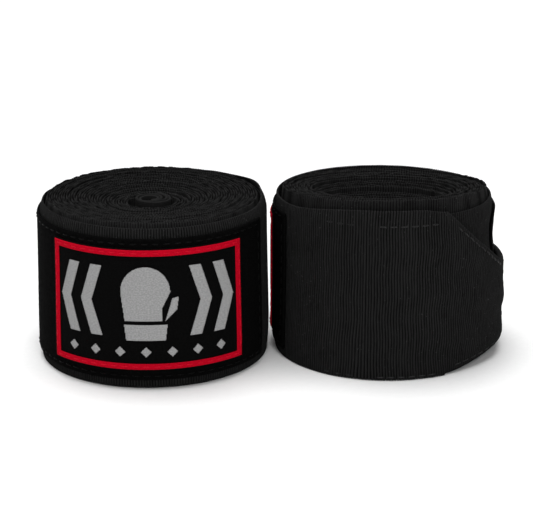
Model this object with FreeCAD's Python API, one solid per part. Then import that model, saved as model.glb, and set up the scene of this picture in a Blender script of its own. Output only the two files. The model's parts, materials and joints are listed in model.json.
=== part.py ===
"""A pair of elastic boxing hand wraps, each rolled up on its edge, standing side by side.

Each wrap is one long elastic band. Its inner end is sewn to a thumb loop, which sits folded in
the core of the roll. Its outer end is the closure: a full-width tail, a taper whose corners are
folded in, and a narrow tab with a hook strip. The tab closes on a loop patch that runs round the
outer turn and carries a woven label.

Lengths are in millimetres and angles in degrees. Every piece of a roll is drawn about the roll's
own axis, with the label near 270 degrees and the band wound outwards as the angle grows. The roll
is then turned and set in its place, and the pair is centred over the origin with +Z up.
"""

import FreeCAD, Part
import math
import os

# The elastic band. Both wraps are the same band, wound with a different tension. The tail is not
# stretched, so it is a little wider and thicker.
BAND_WIDTH = 50.8
BAND_THICKNESS = 0.7
TAIL_WIDTH = 53.5
TAIL_THICKNESS = 1.0
CORE_RADIUS = 7.0

# For each roll: the pitch of its turns, how many lie under the outer one, how far they stand up
# out of it, how far the tab hangs below the band's middle, the way the roll is turned, which side
# it stands on, and how far back. The thumb loop stands from loop_low in the core.
ROLLS = {
    "left": {
        "pitch": 0.8544, "turns": 32, "lift": 1.0, "droop": 1.0,
        "heading": 1.0, "side": -1, "back": 0.0, "loop_low": 35.5,
    },
    "right": {
        "pitch": 0.7803, "turns": 33, "lift": 3.0, "droop": 8.4,
        "heading": 228.0, "side": 1, "back": 5.9, "loop_low": 28.0,
    },
}
ROLL_SPACING = 74.05

# The middle of one roll's turns has sunk into a hollow.
HOLLOWED = "right"
HOLLOW_DEPTH = 9.0
HOLLOW_MOUTH = 23.0
HOLLOW_FLOOR = 11.0

# Where things lie round a roll.
TAIL_START = 30.0
TAPER_START = 72.0
TAPER_END = 120.0
TAB_TIP = 160.0
FULL_TURN = 360.0
PATCH_START = 118.0
PATCH_END = 338.0
LABEL_MIDDLE = 269.0
BACKING_START = 2.0

# How far the outer turn and the tail stand off the turns under them.
OUTER_LIFT = 1.12
TAIL_RISE = 0.45
CLEARANCE = 0.35
FACE_GAP = 0.03
END_GAP = 0.1

# The closure's layers.
TAB_WIDTH = 27.0
TAB_CORNER = 4.0
FOLD_SLIT = 0.2
HOOK_THICKNESS = 1.3
HOOK_WIDTH = 22.0
PATCH_THICKNESS = 0.9
PATCH_WIDTH = 45.0
BACKING_THICKNESS = 0.5
BACKING_WIDTH = 50.0

# The woven label.
LABEL_WIDTH = 65.6
LABEL_HEIGHT = 38.8
LABEL_CENTRE = 25.7
LABEL_THICKNESS = 0.45
BORDER_WIDTH = 1.9
BORDER_INSET = 0.5
MOTIF_THICKNESS = 0.25

# The thumb loop: a tape folded flat in two and rolled into the core.
LOOP_TAPE_WIDTH = 15.0
LOOP_TAPE_THICKNESS = 0.9
LOOP_SLIT = 0.15
LOOP_PITCH = 2.7
LOOP_INNER_RADIUS = 1.2
LOOP_OVERLAP = 45.0
BARTACK_GAP = 0.38

# Stitches are short threads that lie on the cloth.
STITCH_LENGTH = 2.2
STITCH_WIDTH = 0.45
STITCH_HEIGHT = 0.3
STITCH_STEP = 3.4
STITCH_INSET = 1.6
BARTACK_STEP = 1.1

ARC_SPAN = 60.0
MIDDLE_HEIGHT = BAND_WIDTH / 2
UP = FreeCAD.Vector(0, 0, 1)


def point(radius, angle, height=0.0):
    """A point at a radius and an angle round the roll's axis."""
    turned = math.radians(angle)
    return FreeCAD.Vector(radius * math.cos(turned), radius * math.sin(turned), height)


def spiral(radius_at, start, end):
    """Arcs from start to end that follow radius_at(angle)."""
    count = max(1, math.ceil(abs(end - start) / ARC_SPAN))
    step = (end - start) / count
    edges = []
    for i in range(count):
        angles = [start + step * (i + share) for share in (0, 0.5, 1)]
        edges.append(Part.Arc(*[point(radius_at(a), a) for a in angles]).toShape())
    return edges


def strip(face_at, start, end, thickness, low, high):
    """A strip on its edge. Its inner face lies at face_at(angle), and it stands from low to high."""

    def back_at(angle):
        return face_at(angle) + thickness

    ends = [
        Part.makeLine(point(face_at(end), end), point(back_at(end), end)),
        Part.makeLine(point(back_at(start), start), point(face_at(start), start)),
    ]
    outline = [*spiral(face_at, start, end), ends[0], *spiral(back_at, end, start), ends[1]]
    face = Part.Face(Part.Wire(outline))
    face.translate(UP * low)
    return face.extrude(UP * (high - low))


def trimmed(shape, middle, outline):
    """What an outline keeps of a shape. It is drawn as seen from outside the roll at the angle
    middle, as edges between (across, height) points, and runs straight through the shape."""
    face = Part.Face(Part.Wire(outline))
    prism = face.extrude(FreeCAD.Vector(100, 0, 0))
    prism.rotate(FreeCAD.Vector(0, 0, 0), UP, middle)
    return shape.common(prism)


def polygon(points):
    """Edges of a closed outline through (across, height) points."""
    corners = [FreeCAD.Vector(0, across, height) for across, height in points]
    return Part.makePolygon([*corners, corners[0]]).Edges


def degrees(length, radius):
    """The angle that a length along the cloth takes at a radius."""
    return math.degrees(length / radius)


class Layers:
    """The radii of one roll's cloth faces, each as a function of the angle."""

    def __init__(self, roll):
        self.pitch = roll["pitch"]
        self.turns = roll["turns"]
        self.start = CORE_RADIUS + self.pitch * self.turns
        self.rise = self.pitch + OUTER_LIFT
        under_tab = (
            BAND_THICKNESS + PATCH_THICKNESS + CLEARANCE + HOOK_THICKNESS + TAIL_THICKNESS
            + 3 * FACE_GAP
        )
        self.tail_points = [
            (TAIL_START, self.rise),
            (TAPER_START, self.rise + TAIL_RISE),
            (TAPER_END, self.rise * (TAPER_END - TAIL_START) / FULL_TURN + under_tab),
            (TAB_TIP + 10.0, self.rise * (TAB_TIP + 10.0 - TAIL_START) / FULL_TURN + under_tab),
        ]

    def coil(self, angle):
        """Inner face of the turns under the outer one."""
        return CORE_RADIUS + self.pitch * (angle - TAIL_START) / FULL_TURN

    def outer(self, angle):
        """Inner face of the outer turn."""
        return self.start + self.rise * (angle - TAIL_START) / FULL_TURN

    def on_outer(self, angle):
        """Just clear of the outer turn's outer face."""
        return self.outer(angle) + BAND_THICKNESS + FACE_GAP

    def on_patch(self, angle):
        """Just clear of the loop patch."""
        return self.on_outer(angle) + PATCH_THICKNESS + FACE_GAP

    def on_label(self, angle):
        """Just clear of the label."""
        return self.on_patch(angle) + LABEL_THICKNESS + FACE_GAP

    def on_border(self, angle):
        """Just clear of the label's border."""
        return self.on_label(angle) + MOTIF_THICKNESS + FACE_GAP

    def tail(self, angle):
        """Inner face of the tail, the taper and the tab, which lie over the outer turn."""
        for (a, low), (b, high) in zip(self.tail_points, self.tail_points[1:]):
            if angle <= b:
                break
        return self.start + low + (high - low) * (angle - a) / (b - a)

    def on_tail(self, angle):
        """Just clear of the tail's outer face."""
        return self.tail(angle) + TAIL_THICKNESS + FACE_GAP

    def under_tail(self, depth):
        """The inner face of a layer of that depth behind the tail."""
        return lambda angle: self.tail(angle) - FACE_GAP - depth


def stitch(radius_at, angle, height, slant=0.0):
    """One thread on a face, level at a slant of 0 and upright at 90."""
    reach = degrees(STITCH_LENGTH / 2, radius_at(angle))
    clear = max(radius_at(angle - reach), radius_at(angle), radius_at(angle + reach))
    thread = Part.makeBox(STITCH_HEIGHT, STITCH_LENGTH, STITCH_WIDTH)
    thread.translate(FreeCAD.Vector(clear, -STITCH_LENGTH / 2, -STITCH_WIDTH / 2))
    thread.rotate(FreeCAD.Vector(0, 0, 0), FreeCAD.Vector(1, 0, 0), slant)
    thread.rotate(FreeCAD.Vector(0, 0, 0), UP, angle)
    thread.translate(UP * height)
    return thread


def stitch_row(radius_at, start, end, heights):
    """Stitches from one angle and height to another, spaced evenly along the row."""
    low, high = heights
    across = math.radians(end - start) * radius_at((start + end) / 2)
    length = math.hypot(across, high - low)
    count = max(2, round(length / STITCH_STEP))
    slant = math.degrees(math.atan2(high - low, across))
    shares = [(i + 0.5) / count for i in range(count)]
    return [
        stitch(radius_at, start + (end - start) * s, low + (high - low) * s, slant) for s in shares
    ]


def stitch_frame(radius_at, start, end, low, high):
    """Stitches round a rectangle."""
    level = [stitch_row(radius_at, start, end, (h, h)) for h in (low, high)]
    upright = [
        stitch_row(radius_at, a, a, (low + STITCH_STEP / 2, high - STITCH_STEP / 2))
        for a in (start, end)
    ]
    return [thread for row in level + upright for thread in row]


def hollowed(turns, top):
    """The turns without their hollow, which is cut a little past their top."""
    past = 1.0
    wall = (HOLLOW_MOUTH - HOLLOW_FLOOR) / HOLLOW_DEPTH
    cone = Part.makeCone(
        HOLLOW_FLOOR, HOLLOW_MOUTH + wall * past, HOLLOW_DEPTH + past, UP * (top - HOLLOW_DEPTH)
    )
    return turns.cut(cone)


def band_solids(faces, lift):
    """The band's coil and its outer turn."""
    coil_end = TAIL_START + FULL_TURN * faces.turns
    return {
        "rolled_turns": strip(
            faces.coil, TAIL_START, coil_end, BAND_THICKNESS, lift, lift + BAND_WIDTH
        ),
        "outer_turn": strip(
            faces.outer, TAIL_START, TAIL_START + FULL_TURN, BAND_THICKNESS, 0, BAND_WIDTH
        ),
    }


def thumb_loop(loop_low):
    """A tape folded flat in two, wound from its fold at the middle out to the band's first turn."""
    both = 2 * LOOP_TAPE_THICKNESS + LOOP_SLIT
    outer_end = CORE_RADIUS - 0.1 - both
    end = TAIL_START + LOOP_OVERLAP
    start = end - FULL_TURN * (outer_end - LOOP_INNER_RADIUS) / LOOP_PITCH

    def face(depth):
        return lambda angle: LOOP_INNER_RADIUS + depth + LOOP_PITCH * (angle - start) / FULL_TURN

    inner, inner_back = face(0), face(LOOP_TAPE_THICKNESS)
    outer, outer_back = face(LOOP_TAPE_THICKNESS + LOOP_SLIT), face(both)

    def fold(low, high):
        """The half round that joins two faces at the fold."""
        middle = (low(start) + high(start)) / 2
        reach = abs(high(start) - low(start)) / 2
        back = point(1, start - 90) * reach
        ends = [point(low(start), start), point(high(start), start)]
        return Part.Arc(ends[0], point(middle, start) + back, ends[1]).toShape()

    outline = [
        *spiral(inner, start, end),
        Part.makeLine(point(inner(end), end), point(inner_back(end), end)),
        *spiral(inner_back, end, start),
        fold(inner_back, outer),
        *spiral(outer, start, end),
        Part.makeLine(point(outer(end), end), point(outer_back(end), end)),
        *spiral(outer_back, end, start),
        fold(outer_back, inner),
    ]
    tape = Part.Face(Part.Wire(outline))
    tape.translate(UP * loop_low)
    tape = tape.extrude(UP * LOOP_TAPE_WIDTH)

    def tack_at(angle):
        return inner(angle) - BARTACK_GAP - STITCH_HEIGHT

    count = int((LOOP_TAPE_WIDTH - 2 * STITCH_INSET) / BARTACK_STEP)
    tacks = [
        stitch(tack_at, end - FULL_TURN * 0.05, loop_low + STITCH_INSET + BARTACK_STEP * i)
        for i in range(count)
    ]
    return {"thumb_loop": tape, "thumb_loop_bartack": Part.makeCompound(tacks)}


def loop_patch(faces):
    """The loop tape round the outer turn, and the stitches along its edges."""
    low, high = MIDDLE_HEIGHT - PATCH_WIDTH / 2, MIDDLE_HEIGHT + PATCH_WIDTH / 2
    clear_of_tab = TAB_TIP + 6.0
    rows = stitch_frame(
        faces.on_patch, clear_of_tab, PATCH_END - 3.0, low + STITCH_INSET, high - STITCH_INSET
    )
    return {
        "loop_patch": strip(faces.on_outer, PATCH_START, PATCH_END, PATCH_THICKNESS, low, high),
        "loop_patch_stitches": Part.makeCompound(rows),
    }


def glove(faces, middle, base):
    """The glove of the label's emblem, as (across, height) outlines: hand, thumb and cuff."""
    cuff = polygon([(-6, base), (6, base), (6.6, base + 5), (-6.6, base + 5)])
    palm = base + 6.2
    knuckles = palm + 9
    sides = [(-7.6, knuckles), (-6.4, palm), (5.0, palm), (5.0, palm + 4), (7.6, knuckles)]
    sides = [FreeCAD.Vector(0, *corner) for corner in sides]
    crown = Part.Arc(sides[-1], FreeCAD.Vector(0, 0, knuckles + 8), sides[0]).toShape()
    hand = [*Part.makePolygon(sides).Edges, crown]
    thumb = polygon([(6.0, palm), (9.6, palm + 3.4), (10.2, palm + 7.4), (8.2, palm + 7.0)])
    plate = motif_plate(faces, middle, 30.0)
    return [trimmed(plate, middle, outline) for outline in (hand, thumb, cuff)]


def motif_plate(faces, middle, span):
    """A thin raised layer of the label to cut motifs from."""
    low, high = LABEL_CENTRE - LABEL_HEIGHT / 2, LABEL_CENTRE + LABEL_HEIGHT / 2
    return strip(faces.on_label, middle - span, middle + span, MOTIF_THICKNESS, low, high)


def emblem(faces):
    """A glove between chevrons, over a row of diamonds."""
    solids = glove(faces, LABEL_MIDDLE, LABEL_CENTRE - 9.5)
    radius = faces.on_label(LABEL_MIDDLE)
    for side in (-1, 1):
        for distance in (17.0, 25.0):
            middle = LABEL_MIDDLE + side * degrees(distance, radius)
            centre = LABEL_CENTRE + 2.5
            outline = polygon(
                [
                    (-side * 3.4, centre + 11),
                    (side * 0.4, centre + 11),
                    (side * 4.0, centre),
                    (side * 0.4, centre - 11),
                    (-side * 3.4, centre - 11),
                    (side * 0.2, centre),
                ]
            )
            solids.append(trimmed(motif_plate(faces, middle, 12.0), middle, outline))
    for i in range(7):
        middle = LABEL_MIDDLE + degrees(8.0 * (i - 3), radius)
        centre = LABEL_CENTRE - 13.2
        outline = polygon(
            [(-1.6, centre), (0, centre - 1.6), (1.6, centre), (0, centre + 1.6)]
        )
        solids.append(trimmed(motif_plate(faces, middle, 6.0), middle, outline))
    return Part.makeCompound(solids)


def label(faces):
    """The woven label: its ground, its raised border, its emblem and its stitches."""
    half = degrees(LABEL_WIDTH / 2, faces.on_patch(LABEL_MIDDLE))
    start, end = LABEL_MIDDLE - half, LABEL_MIDDLE + half
    low, high = LABEL_CENTRE - LABEL_HEIGHT / 2, LABEL_CENTRE + LABEL_HEIGHT / 2
    radius = faces.on_label(LABEL_MIDDLE)

    def frame_strip(inset, deeper=0.0):
        turn = degrees(inset, radius)
        return strip(
            lambda angle: faces.on_label(angle) - deeper,
            start + turn, end - turn, MOTIF_THICKNESS + 2 * deeper, low + inset, high - inset,
        )

    window = frame_strip(BORDER_INSET + BORDER_WIDTH, deeper=0.5)
    border = frame_strip(BORDER_INSET).cut(window)
    middle_of_border = BORDER_INSET + BORDER_WIDTH / 2
    turn = degrees(middle_of_border, radius)
    rows = stitch_frame(
        faces.on_border, start + turn, end - turn, low + middle_of_border, high - middle_of_border
    )
    return {
        "label": strip(faces.on_patch, start, end, LABEL_THICKNESS, low, high),
        "label_border": border,
        "label_emblem": emblem(faces),
        "label_stitches": Part.makeCompound(rows),
    }


def backing(faces):
    """The tape sewn behind the tail, cut where the tail lifts, with its two rows of stitches."""
    low, high = MIDDLE_HEIGHT - BACKING_WIDTH / 2, MIDDLE_HEIGHT + BACKING_WIDTH / 2
    heights = (low + STITCH_INSET / 2, high - STITCH_INSET / 2)
    seam = degrees(3.0, faces.start)

    def behind_outer(angle):
        return faces.outer(angle) - FACE_GAP - BACKING_THICKNESS

    fixed_end = TAIL_START + FULL_TURN
    solids = {
        "backing_tape": strip(
            behind_outer, BACKING_START + FULL_TURN, fixed_end - 1, BACKING_THICKNESS, low, high
        ),
        "tail_backing": strip(
            faces.under_tail(BACKING_THICKNESS),
            TAIL_START + 1, TAPER_START - 1, BACKING_THICKNESS, low, high,
        ),
    }
    spans = {
        "backing_stitches": (faces.on_outer, BACKING_START + FULL_TURN + seam, fixed_end - seam),
        "tail_stitches": (faces.on_tail, TAIL_START + seam, TAPER_START - seam),
    }
    for name, (radius_at, start, end) in spans.items():
        rows = [thread for h in heights for thread in stitch_row(radius_at, start, end, (h, h))]
        solids[name] = Part.makeCompound(rows)
    return solids


def tail_panel(faces):
    """The full-width tail, which is the first stretch to lift off the roll."""
    turn = degrees(END_GAP, faces.start)
    return strip(faces.tail, TAIL_START + turn, TAPER_START, TAIL_THICKNESS, 0, TAIL_WIDTH)


def taper(faces, droop):
    """The taper, the two corners folded in behind it, and the stitches along its slanting edges."""
    middle = (TAPER_START + TAPER_END) / 2
    gap = degrees(END_GAP, faces.start)
    start, end = TAPER_START + gap, TAPER_END
    tab_low = MIDDLE_HEIGHT - TAB_WIDTH / 2 - droop
    tab_high = tab_low + TAB_WIDTH
    reach = [faces.tail(a) * math.sin(math.radians(a - middle)) for a in (start, end)]
    past = 3.0

    def edge(low, high):
        """A height at the start and one at the end, carried a little past both."""
        slope = (high - low) / (reach[1] - reach[0])
        return (reach[0] - past, low - slope * past), (reach[1] + past, high + slope * past)

    bottom, top = edge(0, tab_low), edge(TAIL_WIDTH, tab_high)
    outline = polygon([bottom[0], bottom[1], top[1], top[0]])
    cloth = strip(faces.tail, start, end, TAIL_THICKNESS, 0, TAIL_WIDTH)
    behind = strip(faces.under_tail(TAIL_THICKNESS), start, end, TAIL_THICKNESS, 0, TAIL_WIDTH)
    slit = (tab_low + tab_high) / 2
    folds = [
        trimmed(behind, middle, polygon([bottom[0], bottom[1], edge(0, slit - FOLD_SLIT)[1]])),
        trimmed(behind, middle, polygon([top[0], top[1], edge(TAIL_WIDTH, slit + FOLD_SLIT)[1]])),
    ]
    margin = 2.4
    seam = degrees(3.0, faces.start)
    rows = stitch_row(faces.on_tail, start + seam, end - seam, (margin + 1, tab_low + margin))
    rows += stitch_row(
        faces.on_tail, start + seam, end - seam, (TAIL_WIDTH - margin - 1, tab_high - margin)
    )
    return {
        "taper": trimmed(cloth, middle, outline),
        "taper_folds": Part.makeCompound(folds),
        "taper_stitches": Part.makeCompound(rows),
    }


def rounded_end(across, low, high, corner):
    """The outline of a tongue that ends at across with two round corners."""
    slope = corner * (1 - math.sqrt(0.5))
    path = [(0, low), (across - corner, low), (across, low + corner)]
    path += [(across, high - corner), (across - corner, high), (0, high)]
    p = [FreeCAD.Vector(0, *xy) for xy in path]
    rounds = [
        FreeCAD.Vector(0, across - slope, low + slope),
        FreeCAD.Vector(0, across - slope, high - slope),
    ]
    return [
        Part.makeLine(p[0], p[1]),
        Part.Arc(p[1], rounds[0], p[2]).toShape(),
        Part.makeLine(p[2], p[3]),
        Part.Arc(p[3], rounds[1], p[4]).toShape(),
        Part.makeLine(p[4], p[5]),
        Part.makeLine(p[5], p[0]),
    ]


def tab(faces, droop):
    """The narrow tab, its folded-in sides, the hook strip behind them and its stitches."""
    gap = degrees(END_GAP, faces.start)
    start, reach = TAPER_END + gap, TAB_TIP + 8.0
    low = MIDDLE_HEIGHT - TAB_WIDTH / 2 - droop
    high = low + TAB_WIDTH
    slit = (low + high) / 2
    square_to = TAPER_END - 20.0
    radius = faces.tail(TAB_TIP)
    tip = radius * math.sin(math.radians(TAB_TIP - square_to))
    outline = rounded_end(tip, low, high, TAB_CORNER)
    behind = faces.under_tail(TAIL_THICKNESS)
    layers = {
        "tab": strip(faces.tail, start, reach, TAIL_THICKNESS, low, high),
        "lower": strip(behind, start, reach, TAIL_THICKNESS, low, slit - FOLD_SLIT),
        "upper": strip(behind, start, reach, TAIL_THICKNESS, slit + FOLD_SLIT, high),
    }
    cut = {name: trimmed(layer, square_to, outline) for name, layer in layers.items()}
    depth = TAIL_THICKNESS + FACE_GAP + HOOK_THICKNESS
    hook = strip(
        faces.under_tail(depth), start + 1.5, TAB_TIP, HOOK_THICKNESS,
        slit - HOOK_WIDTH / 2, slit + HOOK_WIDTH / 2,
    )
    hook_outline = rounded_end(
        tip - STITCH_INSET, slit - HOOK_WIDTH / 2, slit + HOOK_WIDTH / 2, TAB_CORNER - STITCH_INSET
    )
    seam = degrees(3.0, faces.start)
    rows = stitch_frame(
        faces.on_tail, start + 2 * seam, TAB_TIP - seam, low + 3.0, high - 3.0
    )
    return {
        "tab": cut["tab"],
        "tab_folds": Part.makeCompound([cut["lower"], cut["upper"]]),
        "hook_strip": trimmed(hook, square_to, hook_outline),
        "tab_stitches": Part.makeCompound(rows),
    }


def one_wrap(roll):
    """All the pieces of one rolled wrap, about its own axis."""
    faces = Layers(roll)
    return {
        **band_solids(faces, roll["lift"]),
        **thumb_loop(roll["loop_low"]),
        **loop_patch(faces),
        **label(faces),
        **backing(faces),
        "tail_panel": tail_panel(faces),
        **taper(faces, roll["droop"]),
        **tab(faces, roll["droop"]),
    }


def hinge_points(roll):
    """Where the tail, the taper and the tab bend: on the band's outer face."""
    faces = Layers(roll)
    bends = {"tail_unroll": TAIL_START, "taper_unroll": TAPER_START, "tab_peel": TAPER_END}
    return {name: point(faces.tail(a) + TAIL_THICKNESS, a) for name, a in bends.items()}


def band_length(roll):
    """The band's length from the thumb loop to the tip of the tab."""
    faces = Layers(roll)
    half = BAND_THICKNESS / 2
    coil = math.pi * ((faces.start + half) ** 2 - (CORE_RADIUS + half) ** 2) / faces.pitch
    outer_turn = 2 * math.pi * (faces.start + faces.rise / 2 + half)
    closure = math.radians(TAB_TIP - TAIL_START) * (faces.tail(TAPER_START) + half)
    return coil + outer_turn + closure


def main():
    os.makedirs("parts", exist_ok=True)
    solids, hinges = {}, {}
    for side, roll in ROLLS.items():
        place = FreeCAD.Placement(
            FreeCAD.Vector(roll["side"] * ROLL_SPACING / 2, roll["back"], 0),
            FreeCAD.Rotation(UP, roll["heading"]),
        )
        pieces = one_wrap(roll)
        if side == HOLLOWED:
            pieces["rolled_turns"] = hollowed(pieces["rolled_turns"], roll["lift"] + BAND_WIDTH)
        for name, shape in pieces.items():
            shape.Placement = place.multiply(shape.Placement)
            solids[f"{side}_{name}"] = shape
        hinges[f"{side}_axis"] = place.Base
        for name, where in hinge_points(roll).items():
            hinges[f"{side}_{name}"] = place.multVec(where)
    box = Part.makeCompound(list(solids.values())).optimalBoundingBox(False, False)
    centring = FreeCAD.Vector(-box.Center.x, -box.Center.y, -box.ZMin)
    for name, shape in solids.items():
        shape.translate(centring)
        shape.exportStep(f"parts/{name}.step")
    for name, where in hinges.items():
        print("place", name, round(where.x + centring.x, 4), round(where.y + centring.y, 4))
    for side, roll in ROLLS.items():
        print("band length", side, round(band_length(roll)))
    print("overall", *(round(x, 2) for x in (box.XLength, box.YLength, box.ZLength)))


main()
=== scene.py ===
"""A pair of elastic hand wraps, rolled up on edge and standing side by side.

Every piece of cloth is drawn about its own roll's axis in millimetres, as the CAD is: a radius and
an angle round the roll, and a height. The roll is then settled, which leans its rims and dishes its
turns, and set in its place in the row frame, in metres.
"""

import json
import math

import bpy
import numpy as np
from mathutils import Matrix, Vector


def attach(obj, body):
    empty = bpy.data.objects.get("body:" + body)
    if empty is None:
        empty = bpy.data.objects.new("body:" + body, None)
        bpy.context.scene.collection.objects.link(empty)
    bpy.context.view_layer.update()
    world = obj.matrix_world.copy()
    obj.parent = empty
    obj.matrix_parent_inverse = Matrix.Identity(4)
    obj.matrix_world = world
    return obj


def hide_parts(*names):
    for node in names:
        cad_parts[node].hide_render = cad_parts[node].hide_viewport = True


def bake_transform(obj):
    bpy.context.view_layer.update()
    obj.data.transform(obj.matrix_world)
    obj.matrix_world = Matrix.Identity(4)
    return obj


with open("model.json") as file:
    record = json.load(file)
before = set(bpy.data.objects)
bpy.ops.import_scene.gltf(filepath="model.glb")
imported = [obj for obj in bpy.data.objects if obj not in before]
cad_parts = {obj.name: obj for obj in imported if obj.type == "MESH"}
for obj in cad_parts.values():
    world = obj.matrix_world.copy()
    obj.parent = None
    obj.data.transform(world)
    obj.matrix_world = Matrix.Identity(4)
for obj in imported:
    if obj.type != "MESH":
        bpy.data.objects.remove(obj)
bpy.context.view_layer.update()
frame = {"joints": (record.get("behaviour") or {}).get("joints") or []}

MM = 0.001

# The cloth, as the CAD has it.
BAND_WIDTH = 50.8
BAND_THICKNESS = 0.7
TAIL_WIDTH = 53.5
TAIL_THICKNESS = 1.0
CORE_RADIUS = 7.0
OUTER_LIFT = 1.12
TAIL_RISE = 0.45
CLEARANCE = 0.35
FACE_GAP = 0.03

# Where things lie round a roll, in degrees.
TAIL_START = 30.0
TAPER_START = 72.0
TAPER_END = 120.0
TAB_TIP = 160.0
FULL_TURN = 360.0
PATCH_START = 118.0
PATCH_END = 338.0
LABEL_MIDDLE = 269.0
BACKING_START = 2.0
WIDENING_START = 338.0

# The closure, the label and the tapes.
TAB_WIDTH = 27.0
TAB_CORNER = 4.0
FOLD_SLIT = 0.2
HOOK_THICKNESS = 1.3
HOOK_WIDTH = 22.0
PATCH_THICKNESS = 0.9
PATCH_WIDTH = 45.0
BACKING_THICKNESS = 0.5
BACKING_WIDTH = 50.0
LABEL_WIDTH = 65.6
LABEL_HEIGHT = 38.8
LABEL_CENTRE = 25.7
LABEL_THICKNESS = 0.45
BORDER_WIDTH = 1.9
BORDER_INSET = 0.5
MOTIF_THICKNESS = 0.25
MIDDLE_HEIGHT = BAND_WIDTH / 2

# The thumb loop.
LOOP_TAPE_WIDTH = 15.0
LOOP_TAPE_THICKNESS = 0.9
LOOP_SLIT = 0.15
LOOP_PITCH = 2.7
LOOP_INNER_RADIUS = 1.2
LOOP_OVERLAP = 45.0
BARTACK_GAP = 0.38

# Stitches.
STITCH_LENGTH = 2.2
STITCH_WIDTH = 0.45
STITCH_HEIGHT = 0.3
STITCH_STEP = 3.4
STITCH_INSET = 1.6
BARTACK_STEP = 1.1
THREAD_SINK = 0.13

# The ribs that the elastic threads raise across the band.
RIB_PITCH = 0.85
RIB_DEPTH = 0.34
COIL_RIB_PITCH = 0.96
CREASE_MIDDLE = 325.0
BACK_SAG = 2.4
CREASE_DEPTH = 0.32
RIB_WAVE = 0.28
RIB_LEAN = 0.8

# How far the closure's folded edges curl towards the roll, and over what width.
EDGE_CURL = 0.7
CURL_REACH = 3.5
TAPER_SLUMP = 2.2
CORNER_ROUND = 1.3
CORNER_SPAN = 16.0
BACKING_MARGIN = 0.9
SEAM_MARGIN = 1.5

# How each roll was wound and how it has settled since.
ROLLS = {
    "left": {"pitch": 0.8544, "turns": 32, "lift": 1.0, "droop": 1.0, "heading": 1.0, "loop_low": 35.5},
    "right": {"pitch": 0.7803, "turns": 33, "lift": 3.0, "droop": 8.4, "heading": 228.0, "loop_low": 28.0},
}
JOINTS = {joint["name"]: joint for joint in frame["joints"]}
BLEND_REACH = {"tail_unroll": 10.0, "taper_unroll": 8.0, "tab_peel": 8.0}
BLEND_START = {"tail_unroll": TAIL_START, "taper_unroll": TAPER_START, "tab_peel": TAPER_END}


def smooth(value, low, high):
    """0 before low, 1 after high, and a smooth step between."""
    share = np.clip((value - low) / (high - low), 0, 1)
    return share * share * (3 - 2 * share)


def wander(rng, at, step):
    """Smooth random values, about -1 to 1, that change over each step."""
    knots = rng.uniform(-1, 1, int(np.max(at) / step) + 3)
    place = np.asarray(at) / step
    base = np.floor(place).astype(int)
    share = place - base
    share = share * share * (3 - 2 * share)
    return knots[base] * (1 - share) + knots[base + 1] * share


def degrees(length, radius):
    """The angle that a length along the cloth takes at a radius."""
    return np.degrees(length / radius)


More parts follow.
